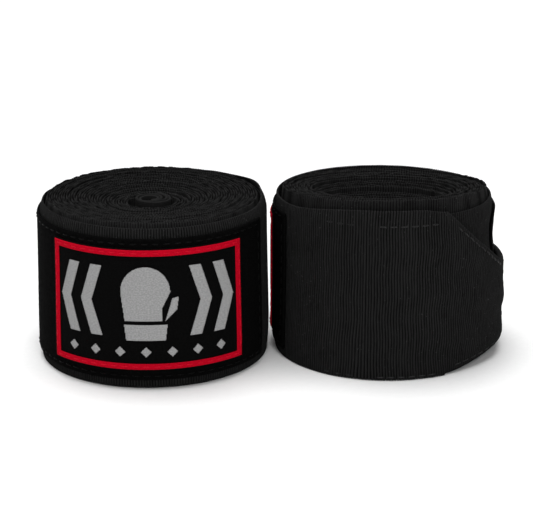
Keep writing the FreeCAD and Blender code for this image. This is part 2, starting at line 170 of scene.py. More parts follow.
class Roll:
    """One roll: the radii of its cloth faces by angle, as the CAD has them, and how it has settled."""

    def __init__(self, side):
        facts = ROLLS[side]
        self.side = side
        self.pitch, self.turns = facts["pitch"], facts["turns"]
        self.lift, self.droop = facts["lift"], facts["droop"]
        self.heading, self.loop_low = facts["heading"], facts["loop_low"]
        self.rng = np.random.default_rng({"left": 11, "right": 23}[side])
        self.start = CORE_RADIUS + self.pitch * self.turns
        self.rise = self.pitch + OUTER_LIFT
        layers = BAND_THICKNESS + PATCH_THICKNESS + CLEARANCE + HOOK_THICKNESS + TAIL_THICKNESS
        under_tab = layers + 3 * FACE_GAP
        share = (TAPER_END - TAIL_START) / FULL_TURN
        tip_share = (TAB_TIP + 10 - TAIL_START) / FULL_TURN
        self.tail_angles = [TAIL_START, TAPER_START, TAPER_END, TAB_TIP + 10]
        self.tail_heights = [
            self.rise,
            self.rise + TAIL_RISE,
            self.rise * share + under_tab,
            self.rise * tip_share + under_tab,
        ]
        hinge = JOINTS[f"{side}_tail_unroll"]["pos_m"]
        turned = math.radians(self.heading + TAIL_START)
        radius = self.tail(TAIL_START) + TAIL_THICKNESS
        self.axis = np.array(hinge[:2]) / MM - radius * np.array([math.cos(turned), math.sin(turned)])
        self.tab_low = MIDDLE_HEIGHT - TAB_WIDTH / 2 - self.droop
        self.tab_high = self.tab_low + TAB_WIDTH

    def coil(self, angle):
        return CORE_RADIUS + self.pitch * (angle - TAIL_START) / FULL_TURN

    def outer(self, angle):
        return self.start + self.rise * (angle - TAIL_START) / FULL_TURN

    def on_outer(self, angle):
        return self.outer(angle) + BAND_THICKNESS + FACE_GAP

    def on_patch(self, angle):
        return self.on_outer(angle) + PATCH_THICKNESS + FACE_GAP

    def on_label(self, angle):
        return self.on_patch(angle) + LABEL_THICKNESS + FACE_GAP

    def tail(self, angle):
        return self.start + np.interp(angle, self.tail_angles, self.tail_heights)

    def on_tail(self, angle):
        return self.tail(angle) + TAIL_THICKNESS + FACE_GAP

    def taper_edges(self, angle):
        """The heights of the taper's bottom and top edges at an angle."""
        middle = (TAPER_START + TAPER_END) / 2

        def reach(a):
            return self.tail(a) * np.sin(np.radians(a - middle))

        share = (reach(angle) - reach(TAPER_START)) / (reach(TAPER_END) - reach(TAPER_START))
        low = self.tab_low * share
        high = TAIL_WIDTH + (self.tab_high - TAIL_WIDTH) * share
        return low, high

    def front(self, angle):
        """The cosine of an angle round the roll, counted from the front of the pair."""
        return np.cos(np.radians(angle + self.heading - 270))

    def rim_change(self, angle):
        """How far the outer turn's top edge stands above the band's width."""
        if self.side == "left":
            sag = BACK_SAG * smooth(-self.front(angle), 0.1, 0.8)
            sags = np.where(angle < FULL_TURN / 2, 1.0, smooth(angle, WIDENING_START, FULL_TURN + 20))
            return 0.15 * np.sin(np.radians(2 * angle + 40)) - sag * sags
        front = self.front(angle)
        return np.where(front < 0, 0.35, 0.9) * front

    def widening(self, angle):
        """How far the outer turn has grown to the tail's width and thickness, from 0 to 1."""
        return smooth(angle, WIDENING_START, TAIL_START + FULL_TURN)

    def outer_top(self, angle):
        """The height of the outer turn's top edge."""
        return BAND_WIDTH + (TAIL_WIDTH - BAND_WIDTH) * self.widening(angle) + self.rim_change(angle)

    def tail_top(self, angle):
        """The height of the tail's top edge, which is rounded off towards the taper."""
        rounding = CORNER_ROUND * smooth(angle, TAPER_START - CORNER_SPAN, TAPER_START)
        return TAIL_WIDTH + self.rim_change(angle) - rounding

    def slumped_edges(self, angle):
        """The heights of the taper's edges as they hang."""
        low, high = self.taper_edges(angle)
        share = smooth(angle, TAPER_START, TAPER_END)
        along_taper = np.clip((angle - TAPER_START) / (TAPER_END - TAPER_START), 0, 1)
        slump = TAPER_SLUMP * np.sin(math.pi * along_taper) + CORNER_ROUND * (1 - along_taper) ** 2
        return low, high + self.rim_change(angle) * (1 - share) - slump

    def coil_top(self, radius, angle):
        """The height of the top edges of the turns under the outer one."""
        if self.side == "left":
            change = np.interp(radius, [7, 12, 20, 28, 35], [-1.8, -1.2, 0.1, 0.9, 1.1])
            return BAND_WIDTH + change
        level = np.interp(radius, [7, 12.5, 16.5, 20, 23.5, 33], [-9.0, -8.2, -6.4, -2.2, 1.3, 2.3])
        tilt = np.interp(radius, [7, 12.5, 23.5, 33], [0.3, 0.8, 2.9, 3.7])
        return BAND_WIDTH + level + tilt * self.front(angle)

    def settle(self, points):
        """Leans the roll's rims in and makes it a little less than round."""
        radius = np.hypot(points[..., 0], points[..., 1])
        angle = np.arctan2(points[..., 1], points[..., 0]) + math.radians(self.heading)
        height = points[..., 2]
        share = (radius / self.start) ** 3
        if self.side == "left":
            rim = 0.8 * np.clip((height - 46.4) / 4.4, 0, 1.3) ** 2
            foot = (0.35 + 0.25 * np.cos(angle)) * np.clip((13 - height) / 13, 0, 1) ** 2 - 0.55 * smooth(height, 48, 2) + 0.45
        else:
            rim = 0.35 * np.clip((height - 47) / 4.4, 0, 1.3) ** 2
            foot = -0.45 * np.clip(-np.cos(angle - 0.4), 0, 1) * smooth(-np.sin(angle), -0.2, 0.6) * smooth(30 - height, 0, 30)
        moved = radius - share * (rim + foot) + share * 0.12 * np.sin(3 * angle + 1)
        if self.side == "right":
            near = smooth(np.cos(angle - math.radians(CREASE_MIDDLE)), 0.75, 0.98)
            folds = np.sin(height * 0.45 + 4 * angle) + 0.3 * np.sin(height * 0.8 - 5 * angle)
            moved = moved + share * CREASE_DEPTH * near * folds
        factor = moved / np.maximum(radius, 1e-6)
        settled = points.copy()
        settled[..., 0] *= factor
        settled[..., 1] *= factor
        return settled

    def place(self, radius, angle, height):
        """Points of the roll in the row frame, in metres, from radii, angles and heights."""
        radius, angle, height = np.broadcast_arrays(radius, angle, height)
        turned = np.radians(angle)
        local = np.stack([radius * np.cos(turned), radius * np.sin(turned), height], -1)
        local = self.settle(local.astype(float))
        c, s = math.cos(math.radians(self.heading)), math.sin(math.radians(self.heading))
        row = local.copy()
        row[..., 0] = local[..., 0] * c - local[..., 1] * s + self.axis[0]
        row[..., 1] = local[..., 0] * s + local[..., 1] * c + self.axis[1]
        return row * MM

    def on_hinge(self, angle):
        """A point of the cloth's outer face at an angle, for the start or end of a bend."""
        turned = math.radians(angle + self.heading)
        radius = self.tail(angle) + TAIL_THICKNESS
        return tuple(
            float(x) * MM
            for x in (
                self.axis[0] + radius * math.cos(turned),
                self.axis[1] + radius * math.sin(turned),
                MIDDLE_HEIGHT,
            )
        )


# ---------------------------------------------------------------- meshes


def make_object(name, points, faces, coordinates, material, smooth_faces=True):
    """A mesh object from points in metres. Coordinates are its cloth coordinates, in mm."""
    mesh = bpy.data.meshes.new(name)
    mesh.from_pydata(points.tolist(), [], faces)
    corners = np.zeros(len(mesh.loops), int)
    mesh.loops.foreach_get("vertex_index", corners)
    layer = mesh.uv_layers.new(name="cloth")
    layer.data.foreach_set("uv", coordinates[corners].astype(np.float32).ravel())
    mesh.polygons.foreach_set("use_smooth", [smooth_faces] * len(mesh.polygons))
    mesh.materials.append(material)
    piece = bpy.data.objects.new(name, mesh)
    bpy.context.scene.collection.objects.link(piece)
    return piece


def sweep_faces(columns, places, first=0):
    """Faces of a tube through columns of places, closed round its places and capped at both ends."""
    index = np.arange(columns * places).reshape(columns, places) + first
    beside = np.roll(index, -1, axis=1)
    quads = np.stack([index[:-1], index[1:], beside[1:], beside[:-1]], -1).reshape(-1, 4)
    return [*quads.tolist(), index[0].tolist(), index[-1][::-1].tolist()]


def outward(points, faces):
    """The faces, turned over if they enclose a negative volume."""
    centre = points.mean(0)
    sample = np.array([f[:3] for f in faces])
    a, b, c = (points[sample[:, i]] - centre for i in range(3))
    volume = np.einsum("ij,ij->i", a, np.cross(b, c)).sum()
    return faces if volume > 0 else [f[::-1] for f in faces]


def sweep(name, grid, coordinates, material):
    """An object from a grid of points: columns along the cloth, places round its section."""
    columns, places = grid.shape[:2]
    points = grid.reshape(-1, 3)
    faces = outward(points, sweep_faces(columns, places))
    return make_object(name, points, faces, coordinates.reshape(-1, 2), material)


def section(rows, round_steps=3, inner_rows=4):
    """A strip's section, as places round it: the share of the height, and the cosine and sine of
    the rounding, which is 1, 0 on the outer face and -1, 0 on the inner one."""
    up = np.linspace(0, 1, rows)
    down = np.linspace(1, 0, inner_rows)
    turn = np.linspace(0, math.pi, round_steps + 2)[1:-1]
    share = np.concatenate([up, np.ones(round_steps), down, np.zeros(round_steps)])
    cosine = np.concatenate([np.ones(rows), np.cos(turn), -np.ones(inner_rows), -np.cos(turn)])
    sine = np.concatenate([np.zeros(rows), np.sin(turn), np.zeros(inner_rows), -np.sin(turn)])
    return share, cosine, sine


def along(face_at, start, end, pitch, per_rib, rng=None):
    """Angles of the columns of a ribbed cloth, each one's place in its rib, and the length to it."""
    fine = np.linspace(start, end, max(400, int((end - start) * 3)))
    length = np.concatenate([[0], np.cumsum(np.radians(np.diff(fine)) * face_at(fine)[1:])])
    ribs = max(2, round(length[-1] / pitch))
    edges = np.linspace(0, length[-1], ribs + 1)
    if rng is not None:
        edges[1:-1] += rng.uniform(-0.1, 0.1, ribs - 1) * pitch
    steps = np.arange(ribs * per_rib + 1)
    lengths = np.interp(steps / per_rib, np.arange(ribs + 1), edges)
    return np.interp(lengths, length, fine), steps % per_rib, lengths, steps / per_rib * pitch


def valleys(phase, per_rib, depth, rng, lengths):
    """How far each column sinks: all the way between two ribs, and not at all on a rib."""
    shape = {1: [0.5], 2: [1.0, 0.0], 4: [1.0, 0.28, 0.0, 0.28]}[per_rib]
    return np.array(shape)[phase] * depth * (1 + 0.35 * wander(rng, lengths, 2.3))


def slide(lengths, heights, rng):
    """How far the ribs lie off the upright, in mm along the cloth."""
    waves = RIB_WAVE * np.sin(heights / 2.2 + 2.0 * wander(rng, lengths, 19.0)[:, None])
    waves = waves * (0.6 + 0.4 * wander(rng, lengths, 31.0)[:, None])
    lean = RIB_LEAN * wander(rng, lengths, 42.0)[:, None]
    return waves + lean * smooth(22 - heights, 0, 22)


def ribbed_strip(roll, name, material, face_at, start, end, thickness, low, high, **looks):
    """A ribbed strip of cloth. Its inner face lies at face_at(angle), and thickness, low and high
    are numbers or functions of the angle."""
    rows, per_rib = looks.get("rows", 26), looks.get("per_rib", 4)
    pitch, depth = looks.get("pitch", RIB_PITCH), looks.get("depth", RIB_DEPTH)
    angles, phase, lengths, counted = along(face_at, start, end, pitch, per_rib, roll.rng)
    value = [np.broadcast_to(f(angles) if callable(f) else f, angles.shape) for f in (thickness, low, high)]
    thick, bottom, top = (v[:, None].astype(float) for v in value)
    sink = valleys(phase, per_rib, depth, roll.rng, lengths)[:, None]
    share, cosine, sine = section(rows, looks.get("round_steps", 3), looks.get("inner_rows", 14))
    half = thick / 2
    height = bottom + half + (top - bottom - 2 * half) * share + (half - sink) * sine
    radius = face_at(angles)[:, None] + half * (1 + cosine) - sink * cosine
    shift = slide(lengths, height, roll.rng) if looks.get("wavy", True) else 0 * height
    ends = smooth(lengths, 0, 3) * smooth(lengths[-1] - lengths, 0, 3)
    turned = angles[:, None] + degrees(shift * ends[:, None], radius)
    coordinates = np.stack([np.broadcast_to(counted[:, None], height.shape), height], -1)
    return sweep(f"{roll.side}_{name}", roll.place(radius, turned, height), coordinates, material)


def folded_strip(roll, name, material, start, end, edges, folds):
    """The closure's cloth with its sides folded in behind it. Edges and folds are functions of the
    angle that give two heights: where the cloth is folded, and how far in each fold reaches."""
    angles, phase, lengths, counted = along(roll.tail, start, end, RIB_PITCH, 4, roll.rng)
    sink = valleys(phase, 4, RIB_DEPTH, roll.rng, lengths)[:, None]
    low, high = (np.asarray(e)[:, None] for e in edges(angles))
    fold_low, fold_high = (np.asarray(f)[:, None] for f in folds(angles))
    t, reach = TAIL_THICKNESS, TAIL_THICKNESS + FACE_GAP / 2
    places = []

    def face(depth, a, b, count, ribs):
        for share in np.linspace(0, 1, count):
            places.append((depth + ribs * sink, a + (b - a) * share))

    def bend(centre, radius, first, last, count, height):
        for turn in np.linspace(first, last, count + 2)[1:-1]:
            places.append((centre - radius * math.cos(turn) + 0 * height, height + radius * math.sin(turn)))

    pi = math.pi
    upper, lower = high - reach, low + reach
    face(0, lower, upper, 16, 1)
    bend(reach, reach, 0, pi, 5, upper)
    face(2 * reach, upper, fold_high, 8, -0.6)
    face(t + FACE_GAP, fold_high, upper, 8, 0)
    face(t, upper, lower, 16, 0)
    face(t + FACE_GAP, lower, fold_low, 8, 0)
    face(2 * reach, fold_low, lower, 8, -0.6)
    bend(reach, reach, pi, 2 * pi, 5, lower)
    depth = np.concatenate([np.broadcast_to(d, low.shape) for d, _ in places], 1)
    height = np.concatenate([np.broadcast_to(h, low.shape) for _, h in places], 1)
    edge = np.minimum(height - low, high - height)
    curl = EDGE_CURL * np.clip(1 - edge / CURL_REACH, 0, 1) ** 2
    radius = roll.tail(angles)[:, None] + t - depth - curl
    coordinates = np.stack([np.broadcast_to(counted[:, None], height.shape), height], -1)
    grid = roll.place(radius, np.broadcast_to(angles[:, None], height.shape), height)
    return sweep(f"{roll.side}_{name}", grid, coordinates, material)


def stitch_places(radius_at, start, end, heights):
    """The angle, height and slant of each stitch of a row, spaced as in the CAD."""
    low, high = heights
    across = math.radians(end - start) * radius_at((start + end) / 2)
    count = max(2, round(math.hypot(across, high - low) / STITCH_STEP))
    slant = math.atan2(high - low, across)
    shares = [(i + 0.5) / count for i in range(count)]
    return [(start + (end - start) * s, low + (high - low) * s, slant) for s in shares]


def frame_places(radius_at, start, end, low, high):
    """The stitches round a rectangle."""
    level = [stitch_places(radius_at, start, end, (h, h)) for h in (low, high)]
    upright = [
        stitch_places(radius_at, a, a, (low + STITCH_STEP / 2, high - STITCH_STEP / 2))
        for a in (start, end)
    ]
    return [place for row in level + upright for place in row]


def stitches(roll, name, material, radius_at, places, outwards=1):
    """Threads that come up out of the cloth, run along it and go down into it again."""
    rings, sides = 7, 6
    t = np.linspace(-1, 1, rings)
    rise = (STITCH_HEIGHT - THREAD_SINK) * (1 - np.abs(t) ** 3) - STITCH_WIDTH / 2
    girth = STITCH_WIDTH / 2 * (1 - 0.45 * t**4)
    turn = np.linspace(0, 2 * math.pi, sides, endpoint=False)
    points, faces, coordinates = [], [], []
    for angle, height, slant in places:
        slant += roll.rng.uniform(-0.08, 0.08)
        run = t * STITCH_LENGTH / 2
        base = radius_at(angle + degrees(run, radius_at(angle)) * math.cos(slant))
        side = girth[:, None] * np.cos(turn)
        across = run[:, None] * math.cos(slant) - side * math.sin(slant)
        up = run[:, None] * math.sin(slant) + side * math.cos(slant)
        radius = base[:, None] + outwards * (rise[:, None] + girth[:, None] * np.sin(turn))
        grid = roll.place(radius, angle + degrees(across, radius), height + up)
        faces += sweep_faces(rings, sides, first=len(points) * rings * sides)
        points.append(grid.reshape(-1, 3))
        wound = np.stack(np.broadcast_arrays(run[:, None] + 3 * height, turn * STITCH_WIDTH / 2), -1)
        coordinates.append(wound.reshape(-1, 2))
    one = sweep_faces(rings, sides)
    if outward(points[0], one) is not one:
        faces = [f[::-1] for f in faces]
    return make_object(
        f"{roll.side}_{name}", np.concatenate(points), faces, np.concatenate(coordinates), material
    )


# ---------------------------------------------------------------- the woven label

CELL_WIDTH = 0.22
CELL_HEIGHT = 0.134
WEFT_PITCH = 0.402
FLOAT_LENGTH = 0.95


def inside(across, height, corners):
    """True where a point lies inside the outline through the corners."""
    found = np.zeros(np.broadcast(across, height).shape, bool)
    for (x0, y0), (x1, y1) in zip(corners, [*corners[1:], corners[0]]):
        crosses = (y0 > height) != (y1 > height)
        if y0 != y1:
            found ^= crosses & (across < (x1 - x0) * (height - y0) / (y1 - y0) + x0)
    return found


def emblem_outlines():
    """A boxing glove between chevrons, over a row of diamonds."""
    base = LABEL_CENTRE - 9.5
    palm = base + 6.2
    knuckles = palm + 9
    crown = [(7.6 * math.cos(t), knuckles + 8 * math.sin(t)) for t in np.linspace(0, math.pi, 25)]
    outlines = [
        [(-6, base), (6, base), (6.6, base + 5), (-6.6, base + 5)],
        [(-6.4, palm), (5.0, palm), (5.0, palm + 4), *crown],
        [(6.0, palm), (9.6, palm + 3.4), (10.2, palm + 7.4), (8.2, palm + 7.0)],
    ]
    centre = LABEL_CENTRE + 2.5
    for side in (-1, 1):
        for distance in (17.0, 25.0):
            x = side * distance
            bars = [(-3.4, 11), (0.4, 11), (4.0, 0), (0.4, -11), (-3.4, -11), (0.2, 0)]
            outlines.append([(x + side * across, centre + up) for across, up in bars])
    low = LABEL_CENTRE - 13.2
    for i in range(7):
        x = 8.0 * (i - 3)
        outlines.append([(x - 1.6, low), (x, low - 1.6), (x + 1.6, low), (x, low + 1.6)])
    return outlines


def float_relief(across, height):
    """The relief of weft threads that float over a few warps each: 1 on a float, 0 between two."""
    row = np.floor(height / WEFT_PITCH)
    crown = np.sin(math.pi * (height / WEFT_PITCH - row)) ** 0.6
    step = across / FLOAT_LENGTH + 0.36 * row
    end = np.abs(step - np.round(step))
    return crown * (0.3 + 0.7 * smooth(end, 0.02, 0.22))


def woven_plate(roll, name, material, keep):
    """A raised figure of the label, in cells one thread high. Keep says which cells are woven."""
    xs = np.arange(-LABEL_WIDTH / 2, LABEL_WIDTH / 2 + CELL_WIDTH, CELL_WIDTH)
    ys = LABEL_CENTRE - LABEL_HEIGHT / 2 + np.arange(0, LABEL_HEIGHT + CELL_HEIGHT, CELL_HEIGHT)
    kept = keep((xs[:-1, None] + xs[1:, None]) / 2, (ys[None, :-1] + ys[None, 1:]) / 2)
    x, y = np.meshgrid(xs, ys, indexing="ij")
    corner = np.arange(x.size).reshape(x.shape)
    quads = np.stack([corner[:-1, :-1], corner[1:, :-1], corner[1:, 1:], corner[:-1, 1:]], -1)[kept]
    top = quads.tolist()
    under = (quads[:, ::-1] + x.size).tolist()
    padded = np.pad(kept, 1)
    walls = []
    for (dx, dy), (a, b) in {(-1, 0): (3, 0), (1, 0): (1, 2), (0, -1): (0, 1), (0, 1): (2, 3)}.items():
        beside = padded[1 + dx : padded.shape[0] - 1 + dx, 1 + dy : padded.shape[1] - 1 + dy]
        edge = ~beside[kept]
        first, last = quads[edge, a], quads[edge, b]
        walls += np.stack([last, first, first + x.size, last + x.size], -1).tolist()
    angle = LABEL_MIDDLE + degrees(x, roll.on_label(LABEL_MIDDLE))
    base = roll.on_label(angle)
    relief = 0.11 + (MOTIF_THICKNESS - 0.11) * float_relief(x, y)
    points = np.concatenate(
        [roll.place(base + relief, angle, y).reshape(-1, 3), roll.place(base, angle, y).reshape(-1, 3)]
    )
    faces = np.array(top + under + walls)
    used, renumbered = np.unique(faces, return_inverse=True)
    coordinates = np.tile(np.stack([x, y], -1).reshape(-1, 2), (2, 1))
    return make_object(
        f"{roll.side}_{name}", points[used], renumbered.reshape(-1, 4).tolist(), coordinates[used], material
    )


def in_border(across, height):
    """True on the label's border."""
    x = LABEL_WIDTH / 2 - np.abs(across)
    y = LABEL_HEIGHT / 2 - np.abs(height - LABEL_CENTRE)
    edge = np.minimum(x, y)
    return (edge > BORDER_INSET) & (edge < BORDER_INSET + BORDER_WIDTH)


def in_emblem(across, height):
    """True on the label's emblem."""
    found = [inside(across, height, corners) for corners in emblem_outlines()]
    return np.logical_or.reduce(found)


# ---------------------------------------------------------------- materials


class Nodes:
    """A new material, and short ways to add nodes to it."""

    def __init__(self, name):
        self.material = bpy.data.materials.new(name)
        self.material.use_nodes = True
        self.tree = self.material.node_tree
        self.shader = self.tree.nodes["Principled BSDF"]
        place = self.tree.nodes.new("ShaderNodeUVMap")
        place.uv_map = "cloth"
        self.place = place.outputs["UV"]

    def add(self, kind, inputs=(), **settings):
        node = self.tree.nodes.new("ShaderNode" + kind)
        for name, value in settings.items():
            setattr(node, name, value)
        for socket, value in dict(inputs).items():
            if isinstance(value, bpy.types.NodeSocket):
                self.tree.links.new(value, node.inputs[socket])
            else:
                node.inputs[socket].default_value = value
        return node

    def scaled(self, across, up):
        """The cloth coordinates, counted in steps that long, in mm."""
        scale = (1 / across, 1 / up, 1)
        return self.add("Mapping", {"Vector": self.place, "Scale": scale}).outputs[0]

    def noise(self, across, up, detail=3.0):
        vector = self.scaled(across, up)
        return self.add("TexNoise", {"Vector": vector, "Scale": 1.0, "Detail": detail}).outputs[0]

    def wave(self, size, direction, distortion=0.0):
        """Threads of that pitch, in mm, across X or up Y."""
        vector = self.scaled(size, size)
        settings = {"Vector": vector, "Scale": math.pi / 10, "Distortion": distortion}
        return self.add("TexWave", settings, bands_direction=direction).outputs[1]

    def math(self, operation, a, b):
        return self.add("Math", {0: a, 1: b}, operation=operation).outputs[0]

    def shades(self, share, dark, light, low=0.3, high=0.7):
        """A colour between two, by a share from low to high."""
        ramp = self.add("ValToRGB", {"Fac": share})
        ends = ramp.color_ramp.elements
        ends[0].position, ends[1].position = low, high
        ends[0].color, ends[1].color = (*dark, 1), (*light, 1)
        return ramp.outputs[0]

    def finish(self, colour, height, depth, roughness, specular=0.15, sheen=0.0, sheen_tint=(1, 1, 1)):
        """Links the colour and a bump that deep, in mm, and sets the rest."""
        bump = self.add("Bump", {"Height": height, "Strength": 1.0, "Distance": depth * MM})
        self.tree.links.new(colour, self.shader.inputs["Base Color"])
        self.tree.links.new(bump.outputs[0], self.shader.inputs["Normal"])
        self.shader.inputs["Roughness"].default_value = roughness
        self.shader.inputs["Specular IOR Level"].default_value = specular
        self.shader.inputs["Sheen Weight"].default_value = sheen
        self.shader.inputs["Sheen Roughness"].default_value = 0.5
        self.shader.inputs["Sheen Tint"].default_value = (*sheen_tint, 1)
        return self.material


def grey(level):
    """A neutral colour with that linear level."""
    return (level, level, level)


def elastic_material():
    """Ribbed black elastic: painted shade between the ribs, streaked along them, with lighter worn flecks."""
    n = Nodes("elastic_band")
    across = n.add("SeparateXYZ", {"Vector": n.place}).outputs[0]
    # The rib mask darkens the colour between the ribs: painted shade in the rib valleys.
    ribs = n.math("ABSOLUTE", n.math("SINE", n.math("MULTIPLY", across, math.pi / RIB_PITCH), 0.0), 0.0)
    streaks = n.math("ADD", n.noise(0.85, 4.5), n.math("MULTIPLY", n.noise(0.42, 1.1), 0.7))
    patches = n.math("MULTIPLY", n.noise(9, 14), 0.5)
    tone = n.math("MULTIPLY", n.math("ADD", streaks, patches), n.math("ADD", n.math("MULTIPLY", ribs, 0.75), 0.25))
    cloth = n.shades(tone, grey(0.0004), grey(0.0138), 0.38, 1.15)
    lint = n.shades(n.noise(0.5, 0.7, 1.0), grey(0), grey(0.05), 0.68, 0.86)
    colour = n.add("MixRGB", {"Fac": 1.0, "Color1": cloth, "Color2": lint}, blend_type="ADD").outputs[0]
    threads = n.math("MULTIPLY", n.wave(0.34, "Y", 1.4), n.noise(0.3, 0.25))
    return n.finish(colour, threads, 0.16, 0.9, 0.06)


def loop_material():
    """Black loop tape: a low nap of brushed loops."""
    n = Nodes("loop_nap")
    nap = n.math("ADD", n.noise(0.45, 0.38, 4), n.math("MULTIPLY", n.noise(1.6, 1.1), 0.6))
    colour = n.shades(nap, grey(0.0006), grey(0.0028), 0.5, 1.1)
    return n.finish(colour, nap, 0.3, 0.95, 0.02)


def woven_material(name, dark, light, roughness=0.55, specular=0.25, weft=0.2, warp=0.31):
    """A tape or label woven from fine threads."""
    n = Nodes(name)
    weave = n.math("MULTIPLY", n.wave(weft, "Y", 0.5), n.wave(warp, "X", 0.5))
    tone = n.math("ADD", n.math("MULTIPLY", n.noise(0.6, 0.4), 0.7), n.math("MULTIPLY", weave, 0.3))
    colour = n.shades(tone, dark, light, 0.3, 0.75)
    return n.finish(colour, weave, 0.05, roughness, specular)


def thread_material(name, dark, light, roughness=0.5):
    """Sewing thread: two plies twisted together."""
    n = Nodes(name)
    twist = n.wave(0.42, "DIAGONAL", 0.3)
    colour = n.shades(n.noise(0.7, 0.4), dark, light)
    return n.finish(colour, twist, 0.06, roughness, 0.06)


def hook_material():
    """Hook tape: a stiff black weave set with rows of small plastic hooks."""
    n = Nodes("hook_tape")
    rows = n.math("MULTIPLY", n.wave(1.1, "X", 0.2), n.wave(0.8, "Y", 0.2))
    colour = n.shades(rows, grey(0.006), grey(0.028), 0.1, 0.7)
    return n.finish(colour, rows, 0.5, 0.42, 0.4)


def floor_material():
    """A plain pale floor."""
    n = Nodes("pale_floor")
    colour = n.shades(n.noise(2.0, 2.0), grey(0.80), grey(0.82))
    return n.finish(colour, n.noise(3.0, 3.0), 0.01, 0.9, 0.1)


MATERIALS = {
    "elastic": elastic_material(),
    "loop": loop_material(),
    "hook": hook_material(),
    "thread": thread_material("black_thread", grey(0.010), grey(0.034)),
    "patch_thread": thread_material("patch_thread", grey(0.0006), grey(0.002)),
    "backing": woven_material("backing_tape", grey(0.005), grey(0.012)),
    "thumb": woven_material("cotton_tape", grey(0.006), grey(0.014), 0.9, 0.1, 0.5, 0.45),
    "ground": woven_material("label_ground", grey(0.001), grey(0.0042), 0.85, 0.03),
    "border": woven_material("label_border", (0.44, 0.0012, 0.012), (0.62, 0.002, 0.020), 0.8, 0.03),
    "motif": woven_material("label_motif", grey(0.25), grey(0.47)),
    "label_thread": thread_material("label_thread", (0.44, 0.0012, 0.012), (0.60, 0.002, 0.020)),
}


# ---------------------------------------------------------------- the pieces


def ride(piece, body, node):
    """The piece rides on a body, and stands for a CAD node."""
    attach(piece, body)
    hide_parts(node)
    return piece


def bends(piece, roll, joint, node):
    """The piece, at one of the closure's hinges, stands for a CAD node, and its place is baked into its mesh; the
    ends of the hinge's bend are found but not used.
    """
    first = BLEND_START[joint]
    start, end = roll.on_hinge(first), roll.on_hinge(first + BLEND_REACH[joint])
    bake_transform(piece)
    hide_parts(node)
    return piece


def cloth_length(face_at, start, end):
    """The length of cloth between two angles, in mm."""
    fine = np.linspace(start, end, 2000)
    return float(np.sum(np.radians(np.diff(fine)) * face_at(fine)[1:]))


def coil(roll):
    """The turns under the outer one, whose edges make the end of the roll."""
    side = roll.side
    end = TAIL_START + FULL_TURN * roll.turns
    angles, phase, lengths, counted = along(roll.coil, TAIL_START, end, COIL_RIB_PITCH, 2, roll.rng)
    radius = roll.coil(angles)
    sink = valleys(phase, 2, 0.19, roll.rng, lengths)[:, None]
    uneven = 0.32 if side == "left" else 0.42
    top = roll.coil_top(radius, angles)
    top = top + uneven * wander(roll.rng, lengths, 55.0) + 0.20 * wander(roll.rng, lengths, 1.3)
    top = top + 0.3 * wander(roll.rng, (angles - TAIL_START) / FULL_TURN, 1.0)
    low = np.maximum(0.5, top - BAND_WIDTH)
    shift = np.zeros_like(radius)
    if side == "left":
        shift = crescent(angles)
    shares = np.array([0, 0.9, 1, 1, 1, 1, 0.9, 0, 0, 0])
    cosine = np.array([1, 1, 1, 0.5, -0.5, -1, -1, -1, -0.5, 0.5])
    sine = np.array([0, 0, 0, 0.87, 0.87, 0, 0, 0, -0.87, -0.87])
    half = BAND_THICKNESS / 2
    height = low[:, None] + half + (top - low - 2 * half)[:, None] * shares + (half - sink) * sine
    turn_radius = (radius + shift + half)[:, None] + (half - sink) * cosine
    coordinates = np.stack([np.broadcast_to(counted[:, None], height.shape), height], -1)
    grid = roll.place(turn_radius, np.broadcast_to(angles[:, None], height.shape), height)
    piece = sweep(f"{side}_rolled_band", grid, coordinates, MATERIALS["elastic"])
    ride(piece, f"{side}_roll", f"{side}_rolled_turns")
    length = cloth_length(roll.coil, TAIL_START, end)


def crescent(angles):
    """How far each turn stands off its place, where the turns have parted at the back of the roll."""
    parted = TAIL_START + FULL_TURN * 18 + 240
    window = np.clip(np.cos(np.radians((angles - 96) % FULL_TURN)), 0, 1) ** 2
    window = window * smooth(window, 0.15, 0.8)
    apart = np.abs(angles - parted) / (FULL_TURN * 8)
    size = np.where(angles > parted, 0.75, -0.45)
    return size * np.exp(-apart) * window


def outer_band(roll):
    """The last full turn of the band, which widens towards the tail, as it is stretched less."""
    side = roll.side

    def thickness(angle):
        return BAND_THICKNESS + (TAIL_THICKNESS - BAND_THICKNESS) * roll.widening(angle)

    end = TAIL_START + FULL_TURN
    piece = ribbed_strip(
        roll, "outer_band", MATERIALS["elastic"], roll.outer, TAIL_START, end, thickness, 0.0,
        roll.outer_top,
    )
    ride(piece, f"{side}_roll", f"{side}_outer_turn")
    length = cloth_length(roll.outer, TAIL_START, end)


